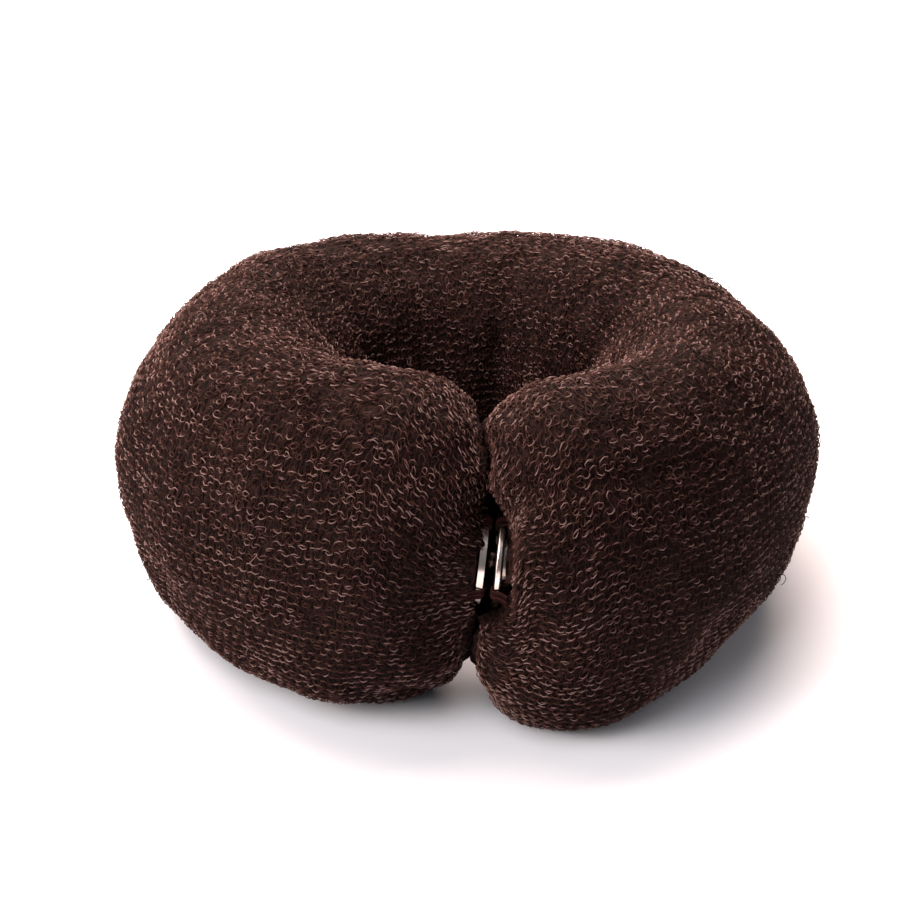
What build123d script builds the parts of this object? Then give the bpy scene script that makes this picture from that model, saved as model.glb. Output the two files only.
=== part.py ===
from build123d import *
from collections import namedtuple
from math import asin, cos, degrees, exp, radians, sin
import os

os.makedirs("parts", exist_ok=True)

# A bun maker: a stuffed roll of knitted mesh is bent into a ring, and a sew-on snap joins its two
# gathered ends at the front. Z is up, the ring lies on Z = 0, and the ends meet at X = 0, on -Y.

# Driving dimensions of the roll, in millimetres
ring_radius = 29.0  # from the middle of the ring to the middle of the roll
roll_width = 32.5  # of the roll, from the hole to the outside
roll_height = 42.0  # of the roll, before its weight flattens it
rest_sink = 2.0  # what the underside loses where it rests
right_round = 13.0  # rounding of the right end
left_round = 11.0  # rounding of the left end
round_top = 0.55  # share of it on top, where the ends press together
round_edge = 28.0  # degrees round that rounding where the flat face of an end begins
end_clear = 0.2  # from the right end's face to the plane where the ends meet
left_set_back = 4.3  # how far behind the right end the left one sits
left_lift = 1.9  # how far the left end rides up
left_ease = 45.0  # degrees round the ring in which those two fade out
end_lean = 2.2  # degrees that the faces of the ends lean to the right

# Driving dimensions of the snap, in millimetres
snap_diameter = 12.0
snap_height = 22.1  # of its ball, above the surface that the ring lies on
snap_forward = 1.0  # of its ball, in front of the middle of the right end
snap_offset = 1.75  # of its ball, to the right of the plane where the ends meet
snap_play = 0.3  # clearance of the ball in the socket, and of each half over its seat
disc_thickness = 0.5  # of the stud's disc
rim_step = 0.25  # how far the disc's turned edge stands above its middle
ball_radius = 1.6
neck_radius = 1.1  # of the post below the ball
disc_gap = 1.45  # between the faces of the two halves
socket_rim = 0.9  # thickness of the socket's rolled rim
drum_diameter = 8.6  # of the cup behind the socket's rim
drum_depth = 1.0
bore_depth = 1.6  # of the hole that the ball enters
edge_round = 0.3  # rounding of the socket's edges
sew_hole_count = 4
sew_hole_width = 0.9
sew_hole_length = 2.2
sew_hole_circle = 10.2  # diameter through the middles of the sewing holes
sew_hole_turn = 45.0  # degrees from the way out of the seat to the first hole
stud_lean = 5.5  # degrees that each half leans, and turns, as its stitches let it
stud_yaw = 3.0
socket_lean = 4.0
socket_yaw = 2.3
seat_taper = 22.0  # degrees that the mesh slopes down to the socket
seat_rise = 30.0  # degrees that the socket's seat slants up to the front of the roll

# The form of the roll round the ring, from the right end at 0 to the left end at 360 degrees,
# as shares of ring_radius, roll_width and roll_height
Form = namedtuple("Form", "turn reach width height")
roll_form = [
    Form(0, 0.95, 1.02, 1.08),
    Form(45, 0.95, 0.98, 1.05),
    Form(90, 0.98, 0.94, 0.98),
    Form(135, 1.06, 0.99, 0.91),
    Form(180, 1.05, 1.04, 0.88),
    Form(225, 1.02, 1.01, 0.92),
    Form(270, 0.98, 0.99, 1.01),
    Form(315, 0.97, 1.00, 1.04),
    Form(360, 0.95, 1.015, 1.00),
]
form_step = 45

# Folds and gathers: where round the ring, where round the roll (0 is outside, 90 on top, 180 at
# the hole), how deep as a share of roll_width, and how far each spreads, in degrees both ways
Fold = namedtuple("Fold", "turn around depth turn_spread around_spread")
folds = [
    # pleats of the inner wall, where the bent roll is squeezed
    Fold(24, 180, 0.030, 6, 45),
    Fold(55, 182, 0.045, 7, 50),
    Fold(88, 185, 0.030, 7, 45),
    Fold(121, 174, 0.055, 7, 50),
    Fold(145, 172, -0.030, 8, 45),
    Fold(168, 172, 0.055, 6, 50),
    Fold(200, 180, 0.025, 6, 45),
    Fold(231, 177, 0.050, 8, 50),
    Fold(262, 180, 0.030, 7, 45),
    Fold(296, 180, 0.045, 7, 50),
    Fold(334, 180, 0.030, 6, 45),
    # dimples where the stitches of the snap gather the front of each end
    Fold(5, -10, 0.070, 4, 15),
    Fold(354, -8, 0.070, 4, 14),
    # broad, slack places of the outer side
    Fold(38, 20, 0.012, 14, 25),
    Fold(72, -45, 0.055, 26, 32),
    Fold(318, -20, 0.012, 16, 30),
]

# How finely the roll is cut into sections
body_step = 6
points_round = 27
foot_trim = 0.8  # what the sections reach below the surface, before the roll is cut flat
foot_share = 0.985  # of the half height, where the foot of a raised section is
round_steps = 5  # sections in the rounding of an end

# The middle of the outline is over the origin, in shares of ring_radius
shift_x = 0.012
shift_y = -0.093


def between(before, start, end, after, share):
    """A smooth curve through four values, from the second to the third."""
    slope_in = (end - before) / 2
    slope_out = (after - start) / 2
    rise = end - start
    bend = 3 * rise - 2 * slope_in - slope_out
    twist = slope_in + slope_out - 2 * rise
    return start + share * (slope_in + share * (bend + share * twist))


def form_at(turn):
    """The roll's reach, width and height at a place round the ring, in millimetres."""
    row = min(int(turn // form_step), len(roll_form) - 2)
    share = (turn - roll_form[row].turn) / form_step
    near = [roll_form[max(0, min(len(roll_form) - 1, row + k))] for k in (-1, 0, 1, 2)]
    reach = between(*[form.reach for form in near], share) * ring_radius
    width = between(*[form.width for form in near], share) * roll_width
    height = between(*[form.height for form in near], share) * roll_height
    return reach, width, height


def left_share(turn):
    """1 at the left end, easing to 0 round the ring: how much it shares in that end's offset."""
    return exp(-(((360 - turn) / left_ease) ** 2)) if turn > 180 else 0.0


def apart(first, second):
    """The angle between two directions, in degrees."""
    return abs((first - second + 180) % 360 - 180)


def fold_depth(turn, around):
    """How far the mesh is drawn in at one place."""
    depth = 0.0
    for fold in folds:
        across = abs(turn - fold.turn) / fold.turn_spread
        along = apart(around, fold.around) / fold.around_spread
        depth += fold.depth * exp(-(across**2) - along**2)
    return depth * roll_width


def section_plane(turn, inward, lean):
    """The plane of a section, square to the roll, moved inwards along it at the two ends."""
    reach, _, height = form_at(turn)
    outward = Vector(sin(radians(turn)), -cos(radians(turn)), 0)
    along = Vector(cos(radians(turn)), sin(radians(turn)), 0)
    up = along * sin(radians(lean)) + Vector(0, 0, cos(radians(lean)))
    back = Vector(0, left_set_back * left_share(turn), 0)
    rise = height / 2 - rest_sink + left_lift * left_share(turn)
    middle = Vector(shift_x * ring_radius, shift_y * ring_radius, rise)
    origin = middle + outward * reach + back + along * inward
    return Plane(origin=origin, x_dir=outward, z_dir=outward.cross(up))


def section_points(turn, inset):
    """An oval outline with its folds, from the foot outside over the top to the foot inside."""
    _, width, height = form_at(turn)
    half_height = height / 2 - inset
    rise = height / 2 - rest_sink + left_lift * left_share(turn)
    floor = min(rise + foot_trim, half_height * foot_share)
    foot = degrees(asin(floor / half_height))
    points = []
    for k in range(points_round):
        around = -foot + (180 + 2 * foot) * k / (points_round - 1)
        drawn_in = inset + fold_depth(turn, around)
        out = (width / 2 - drawn_in) * cos(radians(around))
        spared = inset * (1 - round_top) if around > 0 and around < 180 else 0.0
        up = (height / 2 - drawn_in + spared) * sin(radians(around))
        points.append((out, max(up, -floor)))
    points[0] = (points[0][0], -floor)
    points[-1] = (points[-1][0], -floor)
    return points


# The two halves of the snap turn about the ball. Each lies on a plane whose Z points at the other.
ball_middle = Vector(
    shift_x * ring_radius + snap_offset,
    shift_y * ring_radius - form_at(0)[0] - snap_forward,
    snap_height,
)
snap_radius = snap_diameter / 2
ball_outside = ball_radius + snap_play - bore_depth  # from the socket's face to the ball's middle
ball_height = disc_thickness + disc_gap - ball_outside  # from the back of the stud's disc


def half_plane(lean, yaw, towards, distance):
    """The plane of one half, at a distance behind the ball's middle, with X to the front."""
    tilt = radians(lean)
    turn = radians(yaw)
    axis = Vector(cos(tilt) * cos(turn), -sin(turn), -sin(tilt)) * towards
    forward = Vector(0, -cos(radians(seat_rise)), sin(radians(seat_rise)))
    across = (forward - axis * forward.dot(axis)).normalized()
    return Plane(origin=ball_middle - axis * distance, x_dir=across, z_dir=axis)


def profile_plane(half):
    """The plane that a half is turned from: X is its radius and Y its axis."""
    return Plane(origin=half.origin, x_dir=half.x_dir, z_dir=-half.y_dir)


stud_plane = half_plane(stud_lean, stud_yaw, 1, ball_height)
socket_plane = half_plane(socket_lean, socket_yaw, -1, ball_outside)
socket_depth = socket_rim + drum_depth

# The faces of the two ends: the left one is pushed back by the stud that is sewn on it
left_normal = Vector(cos(radians(end_lean)), 0, -sin(radians(end_lean)))
stud_tilt = stud_plane.z_dir.get_angle(left_normal)
stud_dip = snap_radius * sin(radians(stud_tilt))  # of the edge of the leaning disc
right_face = end_clear
left_face = snap_offset - ball_height - stud_dip - snap_play


def end_sections(end_round, face):
    """Turn, inset, inward shift and lean of each section of one end, from its face inwards."""
    length = end_round * cos(radians(round_edge))
    sections = []
    for k in range(round_steps):
        arc = radians(round_edge + (90 - round_edge) * k / round_steps)
        rest = end_round * cos(arc) / length
        turn = degrees((1 - rest) * length / ring_radius)
        sections.append((turn, end_round * (1 - sin(arc)), rest * face, rest * end_lean))
    return sections


def all_sections():
    """The sections from the right end round the ring to the left end."""
    right = end_sections(right_round, right_face)
    left = [(360 - turn, *others) for turn, *others in end_sections(left_round, left_face)]
    first = body_step * (int(degrees(right_round / ring_radius) / body_step) + 1)
    body = [(turn, 0.0, 0.0, 0.0) for turn in range(first, 361 - first, body_step)]
    return right + body + left[::-1]


# Where the mesh is drawn in round the socket: a seat that runs out at the front of the roll and
# ends halfway between the faces of the two ends
seat_radius = snap_radius + snap_play
seat_run = (roll_width + snap_diameter) / 2
seat_plane = socket_plane.offset(-socket_depth - snap_play)
gap_middle = Vector(
    shift_x * ring_radius + (right_face + left_face) / 2,
    ball_middle.Y,
    form_at(0)[2] / 2 - rest_sink,
)
with BuildPart() as seat:
    with BuildSketch(seat_plane):
        with Locations((seat_run / 2, 0)):
            SlotCenterToCenter(seat_run, 2 * seat_radius)
    extrude(amount=snap_diameter, taper=-seat_taper)
    split(bisect_by=Plane(origin=gap_middle, z_dir=left_normal), keep=Keep.TOP)

# Stuffed mesh roll
with BuildPart() as bun_ring:
    for turn, inset, inward, lean in all_sections():
        with BuildSketch(section_plane(turn, inward, lean)):
            with BuildLine():
                points = section_points(turn, inset)
                steps = [k / (len(points) - 1) for k in range(len(points))]
                add(Edge.make_spline(points, parameters=steps))
                Line(points[-1], points[0])
            make_face()
    loft()
    split(bisect_by=Plane.XY, keep=Keep.TOP)
    add(seat.part, mode=Mode.SUBTRACT)
bun_ring.part.label = "bun_ring"

# Stud half of the snap: a thin disc with a turned edge, and a ball on a post
with BuildPart() as snap_stud:
    with BuildSketch(profile_plane(stud_plane)):
        Rectangle(snap_radius, disc_thickness, align=Align.MIN)
        with Locations((snap_radius - disc_thickness, 0)):
            Rectangle(disc_thickness, disc_thickness + rim_step, align=Align.MIN)
        Rectangle(neck_radius, ball_height, align=Align.MIN)
    revolve(axis=Axis(stud_plane.origin, stud_plane.z_dir))
    with Locations(stud_plane.offset(ball_height)):
        Sphere(ball_radius)
    with BuildSketch(stud_plane):
        with PolarLocations(sew_hole_circle / 2, sew_hole_count, start_angle=sew_hole_turn):
            SlotOverall(sew_hole_length, sew_hole_width, rotation=90)
    extrude(amount=disc_thickness, mode=Mode.SUBTRACT)
snap_stud.part.label = "snap_stud"

# Socket half of the snap: a rolled rim, a cup behind it and a bore for the ball
with BuildPart() as snap_socket:
    with BuildSketch(profile_plane(socket_plane)):
        with Locations((0, -socket_rim)):
            Rectangle(snap_radius, socket_rim, align=Align.MIN)
        with Locations((0, -socket_depth)):
            Rectangle(drum_diameter / 2, socket_depth, align=Align.MIN)
        fillet(vertices().group_by(Axis.X)[-1], edge_round)
        with Locations((0, -bore_depth)):
            Rectangle(ball_radius + snap_play, bore_depth, align=Align.MIN, mode=Mode.SUBTRACT)
    revolve(axis=Axis(socket_plane.origin, socket_plane.z_dir))
    with BuildSketch(socket_plane):
        with PolarLocations(sew_hole_circle / 2, sew_hole_count, start_angle=-sew_hole_turn):
            SlotOverall(sew_hole_length, sew_hole_width, rotation=90)
    extrude(amount=-socket_rim, mode=Mode.SUBTRACT)
snap_socket.part.label = "snap_socket"

for piece in (bun_ring, snap_stud, snap_socket):
    export_step(piece.part, f"parts/{piece.part.label}.step")
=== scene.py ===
# %% [markdown]
# # A bun ring of knitted mesh
# A ponytail is drawn through this soft ring and the hair is spread over it into a bun. The real
# one is a long tube of nylon mesh, rolled up on itself, bent round and closed with a press stud.
# The measured model comes first: everything below is laid on it and keeps its size and place.

# %% Load the measured part
import math
import bpy
import numpy as np
from mathutils import Matrix, Vector
from mathutils.bvhtree import BVHTree


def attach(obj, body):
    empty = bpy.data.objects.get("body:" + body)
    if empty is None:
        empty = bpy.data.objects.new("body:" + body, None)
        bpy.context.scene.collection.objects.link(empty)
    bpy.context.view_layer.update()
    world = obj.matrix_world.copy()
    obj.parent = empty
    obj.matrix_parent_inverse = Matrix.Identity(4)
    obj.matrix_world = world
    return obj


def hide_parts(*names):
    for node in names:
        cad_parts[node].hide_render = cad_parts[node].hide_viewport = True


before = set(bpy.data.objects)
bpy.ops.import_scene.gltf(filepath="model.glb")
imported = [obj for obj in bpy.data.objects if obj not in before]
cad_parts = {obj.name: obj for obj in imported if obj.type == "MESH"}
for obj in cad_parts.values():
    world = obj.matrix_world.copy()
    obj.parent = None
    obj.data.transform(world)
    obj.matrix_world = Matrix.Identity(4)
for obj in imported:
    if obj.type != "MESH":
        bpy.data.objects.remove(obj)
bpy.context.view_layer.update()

MM = 0.001
UP = Vector((0, 0, 1))

# %% [markdown]
# ## Reading the roll
# The knit follows the roll like a skin, in rows that run along it, one beside the other all the
# way round. A mesh from CAD has no such rows, and a remesh would lay its quads anyhow. So the
# surface is read with rays, from the middle of the roll outwards, in one section after another
# round the ring. At the two ends the sections tilt like a fan until they point at the end's face.
# That gives an orderly grid of points to knit on.

# %% Find the middle of the roll
RING_MIDDLE = Vector((0.35, -2.70, 18.0)) * MM
FAR_OUT = 80  # mm from the middle, well outside the ring
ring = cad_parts["bun_ring"]


def surface_of(part):
    """The surface of a measured piece, for rays and nearest places."""
    faces = [tuple(p.vertices) for p in part.data.polygons]
    return BVHTree.FromPolygons([v.co for v in part.data.vertices], faces)


def outward(turn):
    """The way out of the ring, so many degrees round it from the front."""
    return Vector((math.sin(math.radians(turn)), -math.cos(math.radians(turn)), 0))


def roll_middle(turn):
    """Halfway between the wall at the hole and the outside."""
    inner = surface.ray_cast(RING_MIDDLE, outward(turn))[0]
    outer = surface.ray_cast(RING_MIDDLE + outward(turn) * FAR_OUT * MM, -outward(turn))[0]
    return (inner + outer) / 2


surface = surface_of(ring)
behind = roll_middle(180).y - RING_MIDDLE.y
print("at the back, the roll's middle is %.1f mm behind the hole's" % (behind / MM))

# %% Read one section
ROUND = 192  # points round the roll, from the middle of its foot outwards, up and over


def evenly(line, count):
    """The same closed line with its points at even distances."""
    closed = np.vstack([line, line[:1]])
    length = np.concatenate([[0], np.cumsum(np.linalg.norm(np.diff(closed, axis=0), axis=1))])
    places = np.linspace(0, length[-1], count, endpoint=False)
    return np.stack([np.interp(places, length, closed[:, k]) for k in range(3)], 1)


def read_section(turn, tilt=0.0, face=None):
    """Points round the roll in a section, which tilts towards the middle of an end's face."""
    middle = roll_middle(turn)
    pole = (face - middle).normalized() if face else UP
    line = []
    for k in range(ROUND):
        around = math.radians(360 * k / ROUND - 90)
        way = outward(turn) * math.cos(around) + UP * math.sin(around)
        way = way * math.cos(tilt) + pole * math.sin(tilt)
        line.append(surface.ray_cast(middle, way)[0])
    return evenly(np.array(line), ROUND)


print("height of the roll at the back: %.1f mm" % (np.ptp(read_section(180)[:, 2]) / MM))

# %% Read the whole roll
RIGHT_END, LEFT_END = 22.7, 340.8  # degrees round the ring where the rounding of an end starts
RIGHT_FACE = Vector((0.2, -30.2, 20.5)) * MM
LEFT_FACE = Vector((-0.7, -26.0, 20.9)) * MM
FAN, BODY = 44, 420  # sections in each end and between them
LAST_TILT = 87  # degrees; at 90 a section would be a single point

tilts = np.radians(np.linspace(LAST_TILT, 0, FAN, endpoint=False))
roll = [read_section(RIGHT_END, tilt, RIGHT_FACE) for tilt in tilts]
roll += [read_section(turn) for turn in np.linspace(RIGHT_END, LEFT_END, BODY)]
roll += [read_section(LEFT_END, tilt, LEFT_FACE) for tilt in tilts[::-1]]
roll = np.array(roll)
print("sections and points in each:", roll.shape[:2])


# %% Even out the grid
def relaxed(grid):
    """Each point moves towards the middle of its four neighbours; the first and last rows stay."""
    across = (np.roll(grid, 1, 1) + np.roll(grid, -1, 1)) / 2
    along = grid.copy()
    along[1:-1] = (grid[:-2] + grid[2:]) / 2
    return grid / 2 + (across + along) / 4


def laid_on(grid):
    """Each point goes to the nearest place on the measured surface."""
    flat = [surface.find_nearest(Vector(p))[0] for p in grid.reshape(-1, 3)]
    return np.array(flat).reshape(grid.shape)


TIMES, TIMES_AT_SEAT = 3, 12  # the right end has the snap's seat in it, with steep sides
for _ in range(TIMES):
    roll = laid_on(relaxed(roll))
for _ in range(TIMES_AT_SEAT):
    roll[: 2 * FAN] = laid_on(relaxed(roll[: 2 * FAN]))
apart = np.linalg.norm(np.diff(roll, axis=0), axis=2) / MM
print("grid points %.2f mm apart along the roll, at most %.2f mm" % (apart.mean(), apart.max()))


# %% How well the grid follows the measured surface
def rolled_quads(length, rounds, strips=None, first=0):
    """Quads of a grid that closes round, all or some strips of them, from the point numbered first."""
    i, j = np.meshgrid(np.arange(length - 1), np.arange(strips or rounds), indexing="ij")
    k = (j + 1) % rounds
    quads = np.stack([i * rounds + j, (i + 1) * rounds + j, (i + 1) * rounds + k, i * rounds + k], -1)
    return first + quads.reshape(-1, 4)


def surface_over(grid):
    """The surface that a grid makes, for rays and nearest places."""
    points = [Vector(p) for p in grid.reshape(-1, 3)]
    return BVHTree.FromPolygons(points, rolled_quads(*grid.shape[:2]).tolist())


followed = surface_over(roll)
misses = [followed.find_nearest(v.co)[3] for v in ring.data.vertices]
print("measured surface to grid: mean %.2f, most %.2f mm" % (np.mean(misses) / MM, max(misses) / MM))

# %% [markdown]
# ## Slack and puckers
# A stuffed roll is never quite smooth: the mesh lies over lumps of the layers below it, and the
# stitches of the snap draw thin creases into it. Blown up in a cloth simulation, a roll this firm
# would lose its creases, so the grid's points are moved in code. They are moved once, so that the
# inner roll and the knit over it rise and fall together.


# %% Random lumps
def unit(vectors):
    """The same ways, one long."""
    return vectors / np.maximum(np.linalg.norm(vectors, axis=-1, keepdims=True), 1e-12)


def soft_noise(seed, wave, waves=26):
    """A smooth random field of the place, about -1 to 1, whose lumps are one wave apart."""
    rng = np.random.default_rng(seed)
    ways = unit(rng.normal(size=(waves, 3))) * 2 * math.pi / wave * rng.uniform(0.7, 1.4, (waves, 1))
    starts = rng.uniform(0, 2 * math.pi, waves)
    return lambda p: np.cos(p @ ways.T + starts).sum(-1) * math.sqrt(1 / waves)


big_lumps = soft_noise(3, 14 * MM)
small_lumps = soft_noise(4, 6 * MM)
print("big lumps spread by %.2f, small ones by %.2f" % (big_lumps(roll).std(), small_lumps(roll).std()))

# %% Creases
CREASES = [  # points on the roll in mm, then depth and half width in mm
    ([(5.4, -39.4, 35.9), (15.6, -38.0, 36.7), (27.8, -30.3, 35.0)], 0.70, 1.5),
    ([(2.6, -34.4, 39.2), (3.7, -37.2, 37.5), (5.4, -39.8, 35.1)], 0.45, 0.8),
    ([(3.8, -42.6, 27.0), (12.0, -43.0, 31.0)], 0.30, 0.9),
    ([(-3.4, -38.0, 15.0), (-10.0, -39.6, 12.0)], 0.30, 0.9),
    ([(-3.2, -37.4, 25.0), (-8.0, -39.0, 31.0)], 0.30, 0.9),
]


def distance_to_line(p, line):
    """How far places are from a line of straight runs."""
    nearest = np.full(p.shape[:-1], 1e9)
    for a, b in zip(line[:-1], line[1:]):
        share = np.clip(((p - a) @ (b - a)) / ((b - a) @ (b - a)), 0, 1)
        nearest = np.minimum(nearest, np.linalg.norm(p - a - share[..., None] * (b - a), axis=-1))
    return nearest


for line, depth, _ in CREASES:
    near_most = distance_to_line(roll, np.array(line) * MM).min()
    print("crease %.2f mm deep, %.1f mm from the grid" % (depth, near_most / MM))

# %% Swells and dips, and the slack as a whole
BROAD = [  # where the mesh sits fuller or slacker than the plain roll: place, height and reach in mm
    ((-26.0, 18.0, 36.5), 1.20, 7), ((-39.9, 0.6, 32.0), -1.00, 8), ((-34.5, 11.0, 35.3), -0.70, 6),
    ((34.5, 14.0, 33.0), -1.00, 9), ((40.8, -7.0, 30.0), 0.70, 7), ((-43.0, -8.0, 26.0), 0.80, 8),
    ((-38.0, -19.6, 12.0), -0.75, 7), ((42.4, -12.0, 20.5), -0.55, 8), ((28.5, -31.0, 9.0), -1.25, 8),
    ((-1.5, 31.2, 33.5), -0.95, 9), ((22.4, 26.8, 33.6), -0.35, 7), ((-18.2, -33.8, 4.9), 0.75, 7),
    ((-7.8, -33.6, 2.8), -1.70, 4.6), ((16.5, -36.4, 3.8), 1.00, 6), ((-30.4, -27.7, 7.9), -0.65, 6),
]
BIG_HEIGHT, SMALL_HEIGHT = 0.22 * MM, 0.10 * MM  # of the random lumps
SUNK = 0.10 * MM  # the plain mesh lies this much inside the measured surface


def swells(p, places):
    """Height of rounded swells and dips at the places."""
    far = [np.linalg.norm(p - np.array(place) * MM, axis=-1) / (reach * MM) for place, _, reach in places]
    return sum(rise * MM * np.exp(-(f**2)) for f, (_, rise, _) in zip(far, places))


def slack(p):
    """How far the mesh stands above the measured surface, in metres."""
    height = BIG_HEIGHT * big_lumps(p) + SMALL_HEIGHT * small_lumps(p) - SUNK + swells(p, BROAD)
    for line, depth, half_width in CREASES:
        across = distance_to_line(p, np.array(line) * MM) / (half_width * MM)
        height = height - depth * MM * np.exp(-across**2)
    return height


height = slack(roll)
print("slack from %.2f to %.2f mm" % (height.min() / MM, height.max() / MM))


# %% The way out of the roll at each point
def ways_out(grid):
    """Unit vectors away from the roll."""
    along = np.gradient(grid, axis=0)
    across = (np.roll(grid, -1, 1) - np.roll(grid, 1, 1)) / 2
    out = unit(np.cross(along, across))
    middle = grid.mean(1, keepdims=True)
    return out if ((grid - middle) * out).sum(-1).mean() > 0 else -out


out = ways_out(roll)
print("points on the upper side of the roll:", (out[..., 2] > 0).sum())

# %% Lay the slack on the roll
NOTCH = {  # the two ends part again below the snap: place, height and reach in mm
    "right": [((0.3, -32.0, 7.3), -1.70, 3.2), ((1.0, -32.5, 5.0), -0.50, 3.5)],
    "left": [((-0.6, -31.8, 8.8), -0.80, 2.8), ((-3.0, -32.2, 5.0), 0.70, 2.8)],
}
SHIFTS = {  # above it they bulge or give way sideways: place, shift to the right and reach in mm
    "right": [
        ((1.4, -32.8, 36.5), 0.60, 3.0),
        ((4.6, -34.0, 31.0), -1.30, 3.5),
        ((5.0, -37.0, 24.5), -0.50, 5.0),
    ],
    "left": [((-0.6, -33.0, 34.3), 1.90, 3.4)],
}
FOOT, ABOVE_FOOT = 0.5, 3  # mm: the foot stays flat, and over so much more height the slack sets in
free = np.clip((roll[..., 2] / MM - FOOT) / ABOVE_FOOT, 0, 1)
halfway = len(roll) // 2
height[:halfway] += swells(roll[:halfway], NOTCH["right"])
height[halfway:] += swells(roll[halfway:], NOTCH["left"])
skin = roll + out * (height * free)[..., None]
skin[:halfway, :, 0] += swells(roll[:halfway], SHIFTS["right"])
skin[halfway:, :, 0] += swells(roll[halfway:], SHIFTS["left"])
print("skin moved by up to %.2f mm" % (np.linalg.norm(skin - roll, axis=-1).max() / MM))

# %% [markdown]
# The halves of the snap are sewn on tightly, so the mesh is drawn up to them and swells beside them,
# and the two soft ends press on each other all round. The measured solids keep a small clearance
# there. The skin moves towards the snap where it is close, and the gap that is left in front of each
# point is measured, so that the roll below can close it and no light shows between the ends.

# %% How far the skin is from the snap
SNAP_MIDDLE = Vector((2.1, -31.25, 22.1)) * MM  # middle of its ball
SNAP_REACH = 9.5 * MM  # from the ball; further out nothing is drawn up
snap_parts = [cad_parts[name] for name in ("snap_stud", "snap_socket")]
snap_surfaces = [surface_of(part) for part in snap_parts]


def from_snap(points):
    """How far points are from the snap, and the nearest places on it; the reach where it is far."""
    away = np.full(points.shape[:-1], SNAP_REACH)
    nearest = points.copy()
    near = np.linalg.norm(points - np.array(SNAP_MIDDLE), axis=-1) < SNAP_REACH
    for k in zip(*np.nonzero(near)):
        hits = [part.find_nearest(Vector(points[k])) for part in snap_surfaces]
        hit = min(hits, key=lambda h: h[3])
        away[k], nearest[k] = hit[3], hit[0]
    return away, nearest


snap_distance, on_snap = from_snap(skin)
print("skin to snap: %.2f mm at the closest" % (snap_distance.min() / MM))

# %% Draw the mesh up to the snap
CLEARANCE, DRAWN = 0.3 * MM, 3.4 * MM  # room kept to the snap, and reach of the stitches
STUD_SIDE = -1.5 * MM  # left of this the mesh belongs to the stud's end
SNAP_UP = (0, 0.5, 0.866)  # the snap leans back by 30 degrees
PULL, PULL_ON_TOP = 0.75, 0.95  # shares of the gap that close
TOP = 3.5  # mm above the ball, where the right end is drawn up more
CUP = 4.7  # mm that the socket's cup reaches below the ball; above it, 1 mm less

from_middle = skin - np.array(SNAP_MIDDLE)
on_left = from_middle[..., 0] < STUD_SIDE
above = from_middle @ SNAP_UP / MM
pull = np.where(on_left | (above < TOP), PULL, PULL_ON_TOP)
fading = np.clip((DRAWN - snap_distance) / (DRAWN / 2), 0, 1)
drawn = pull * np.clip(snap_distance - CLEARANCE, 0, None) * fading
towards = on_snap - skin
# beside the socket's cup the mesh stands back, and only above and below it closes in
past_cup = np.clip(np.maximum(above + 1, -above) - CUP, 0, 1)
towards[..., 0] *= np.where(on_left, 1, past_cup)
skin = skin + towards / np.maximum(snap_distance, CLEARANCE)[..., None] * drawn[..., None]
print("mesh drawn towards the snap by up to %.2f mm" % (drawn.max() / MM))

# %% Let it swell round the stud, like a cushion round its button
SWELL = 0.90 * MM
SWELL_FROM_BALL, SWELL_WIDTH = 7.3, 0.9  # mm
STUD_DEPTH = -5 * MM  # only the face of the end swells, not the roll behind it
from_axis = np.hypot(from_middle[..., 1], from_middle[..., 2]) / MM
beside_stud = on_left * (from_middle[..., 0] > STUD_DEPTH)
swell = beside_stud * SWELL * np.exp(-(((from_axis - SWELL_FROM_BALL) / SWELL_WIDTH) ** 2))
skin[..., 0] += swell
print("swelling round the stud: %.2f mm" % (swell.max() / MM))

# %% Round the edge of the right end beside the socket
EDGE = 6.5  # mm from the ball, just outside the cup
EDGE_REACH, EDGE_FADING = 5.5 * MM, 2 * MM  # from the snap
EDGE_TIMES = 8
rounding = np.clip((EDGE_REACH - snap_distance) / EDGE_FADING, 0, 1) * ~on_left * (from_axis > EDGE)
for _ in range(EDGE_TIMES):
    skin = skin + rounding[..., None] * (relaxed(skin) - skin)
out = unit(relaxed(relaxed(ways_out(skin))))
print("points rounded at the edge:", (rounding > 0).sum())

# %% Gap in front of each point of the ends
END = FAN + 20  # sections of a gathered end
GAP_REACH = 4 * MM
OFF_SKIN = 0.25 * MM  # where a ray starts, so that it misses the skin that it leaves
FACED = -0.5  # a surface is ahead only where it faces the ray, by the cosine between them
ahead = [(surface_over(skin), False), *[(part, True) for part in snap_surfaces]]
gap = np.full(skin.shape[:2], GAP_REACH)
ahead_is_snap = np.zeros(skin.shape[:2], bool)
for i in [*range(END), *range(len(skin) - END, len(skin))]:
    for j in range(ROUND):
        start, way = Vector(skin[i, j] + out[i, j] * OFF_SKIN), Vector(out[i, j])
        for surface_ahead, is_snap in ahead:
            hit, facing, _, far = surface_ahead.ray_cast(start, way, GAP_REACH)
            if hit is not None and facing.dot(way) < FACED and far + OFF_SKIN < gap[i, j]:
                gap[i, j], ahead_is_snap[i, j] = far + OFF_SKIN, is_snap
print("points with something ahead:", (gap < GAP_REACH).sum(), "- the snap:", ahead_is_snap.sum())

# %% How far the ends press into the gap
PRESS_ON_SNAP, PRESS_ON_END = 0.5, 0.75  # mm at most
SLIT = 0.03 * MM  # half of what stays open
most_pressed = np.where(ahead_is_snap, PRESS_ON_SNAP, PRESS_ON_END) * MM


def press(between, most):
    """How far the roll reaches into the gap: half of it, so that the ends meet."""
    return np.clip(between / 2 - SLIT, 0, most)


print("points of the ends that press on something:", (gap < 2 * most_pressed).sum())

# %% [markdown]
# ## Colours and nodes
# Colours are written as they look on a screen, in hex. Blender mixes light in linear values, so
# one function turns them. Another adds a shader node with its settings and its links, which takes
# one call for a node where Blender's own way takes a line for each socket.


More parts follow.
